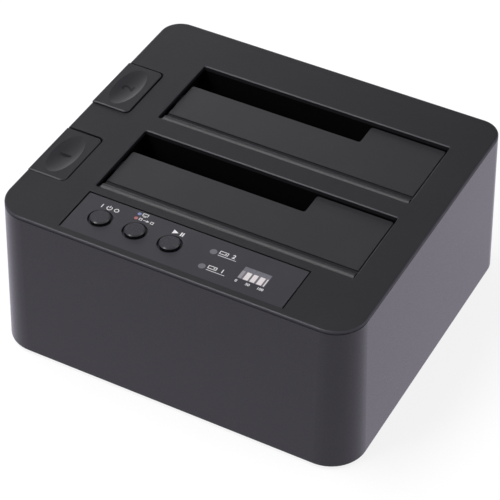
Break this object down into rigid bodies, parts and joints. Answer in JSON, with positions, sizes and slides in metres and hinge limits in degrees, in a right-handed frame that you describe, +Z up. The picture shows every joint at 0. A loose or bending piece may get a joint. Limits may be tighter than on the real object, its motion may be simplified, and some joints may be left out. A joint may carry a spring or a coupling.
{
  "type": "drive duplicator dock",
  "caption": "Low box-shaped drive duplicator dock with two sprung top flaps over the drive bays, eject keys and a front control panel.",
  "frame": {"origin": "under the middle of the body, on the surface that the rubber feet stand on", "axes": "+X to the right along the front, +Y to the rear, +Z up"},
  "size_m": [0.1474, 0.134, 0.0672],
  "materials": {
    "cover_plastic": "fine spark texture, charcoal",
    "wall_plastic": "satin, charcoal",
    "panel_plastic": "satin, slightly lighter charcoal",
    "flap_plastic": "satin, charcoal",
    "eject_plastic": "fine spark texture, charcoal",
    "button_plastic": "satin top, gloss side",
    "frame_plastic": "black moulding",
    "lever_plastic": "black acetal",
    "base_plastic": "black, fine texture",
    "foot_rubber": "moulded",
    "steel": "bright wire and rod",
    "screw_steel": "black zinc",
    "board": "green solder mask",
    "chip": "moulded package",
    "can": "satin can",
    "socket_plastic": "glass-filled, black",
    "port_metal": "nickel plated",
    "inlet_plastic": "black",
    "switch_plastic": "dark grey",
    "ribbon": "grey, ribbed",
    "header_plastic": "natural nylon",
    "blue_lens": "clear blue",
    "red_lens": "clear red",
    "clear_lens": "milky",
    "window_lens": "milky, smoked",
    "lamp_chip": "surface-mounted lamp"
  },
  "bodies": {
    "housing": {"body_shell": "wall_plastic", "top_cover": "cover_plastic", "bottom_cover": "base_plastic", "rubber_feet": "foot_rubber", "case_screws": "screw_steel", "bay_frame_1": "frame_plastic", "bay_frame_2": "frame_plastic", "control_panel": "panel_plastic", "progress_window": "window_lens", "indicator_lamps": "lamp_chip", "key_switches": "switch_plastic", "control_board": "board", "main_board": "board", "usb_port": "port_metal", "power_inlet": "inlet_plastic", "ribbon_cable": "ribbon", "ribbon_headers": "header_plastic", "power_light": "blue_lens", "error_light": "red_lens", "drive_light_1": "clear_lens", "drive_light_2": "clear_lens", "bridge_chips": "chip", "capacitors": "can", "main_board_screws": "screw_steel", "control_board_screws": "screw_steel", "bay_frame_screws": "screw_steel", "hinge_pin_1": "steel", "hinge_pin_2": "steel", "flap_spring_1": "steel", "flap_spring_2": "steel", "eject_spring_1": "steel", "eject_spring_2": "steel", "lever_pin_1": "steel", "lever_pin_2": "steel", "drive_socket_1": "socket_plastic", "drive_socket_2": "socket_plastic"},
    "flap_1": {"flap_1": "flap_plastic"},
    "eject_key_1": {"eject_key_1": "eject_plastic"},
    "eject_lever_1": {"eject_lever_1": "lever_plastic"},
    "flap_2": {"flap_2": "flap_plastic"},
    "eject_key_2": {"eject_key_2": "eject_plastic"},
    "eject_lever_2": {"eject_lever_2": "lever_plastic"},
    "power_button": {"power_button": "button_plastic", "power_plunger": "switch_plastic"},
    "mode_button": {"mode_button": "button_plastic", "mode_plunger": "switch_plastic"},
    "start_button": {"start_button": "button_plastic", "start_plunger": "switch_plastic"}
  },
  "joints": [
    {"name": "flap_1_hinge", "type": "hinge", "parent": "housing", "child": "flap_1", "pos_m": [0.00655, -0.0341, 0.0627], "axis": [-1, 0, 0], "range_deg": [0, 88], "stiffness_Nm_per_rad": 0.006, "springref_deg": -28.65, "deforming": ["flap_spring_1"]},
    {"name": "eject_key_1_press", "type": "slide", "parent": "housing", "child": "eject_key_1", "axis": [0, 0, -1], "range_m": [0, 0.004], "stiffness_N_per_m": 450, "springref_m": -0.003, "deforming": ["eject_spring_1"]},
    {"name": "eject_lever_1_pivot", "type": "hinge", "parent": "housing", "child": "eject_lever_1", "pos_m": [-0.05215, -0.02685, 0.017], "axis": [0, -1, 0], "range_deg": [0, 23]},
    {"name": "flap_2_hinge", "type": "hinge", "parent": "housing", "child": "flap_2", "pos_m": [0.00655, 0.0108, 0.0627], "axis": [-1, 0, 0], "range_deg": [0, 88], "stiffness_Nm_per_rad": 0.006, "springref_deg": -28.65, "deforming": ["flap_spring_2"]},
    {"name": "eject_key_2_press", "type": "slide", "parent": "housing", "child": "eject_key_2", "axis": [0, 0, -1], "range_m": [0, 0.004], "stiffness_N_per_m": 450, "springref_m": -0.003, "deforming": ["eject_spring_2"]},
    {"name": "eject_lever_2_pivot", "type": "hinge", "parent": "housing", "child": "eject_lever_2", "pos_m": [-0.05215, 0.01805, 0.017], "axis": [0, -1, 0], "range_deg": [0, 23]},
    {"name": "power_button_press", "type": "slide", "parent": "housing", "child": "power_button", "axis": [0, 0, -1], "range_m": [0, 0.0005], "stiffness_N_per_m": 800, "springref_m": -0.0005},
    {"name": "mode_button_press", "type": "slide", "parent": "housing", "child": "mode_button", "axis": [0, 0, -1], "range_m": [0, 0.0005], "stiffness_N_per_m": 800, "springref_m": -0.0005},
    {"name": "start_button_press", "type": "slide", "parent": "housing", "child": "start_button", "axis": [0, 0, -1], "range_m": [0, 0.0005], "stiffness_N_per_m": 800, "springref_m": -0.0005}
  ],
  "couplings": [
    {"joint": "eject_lever_1_pivot", "follows": "eject_key_1_press", "rad_per_m": 99.01},
    {"joint": "eject_lever_2_pivot", "follows": "eject_key_2_press", "rad_per_m": 99.01}
  ]
}
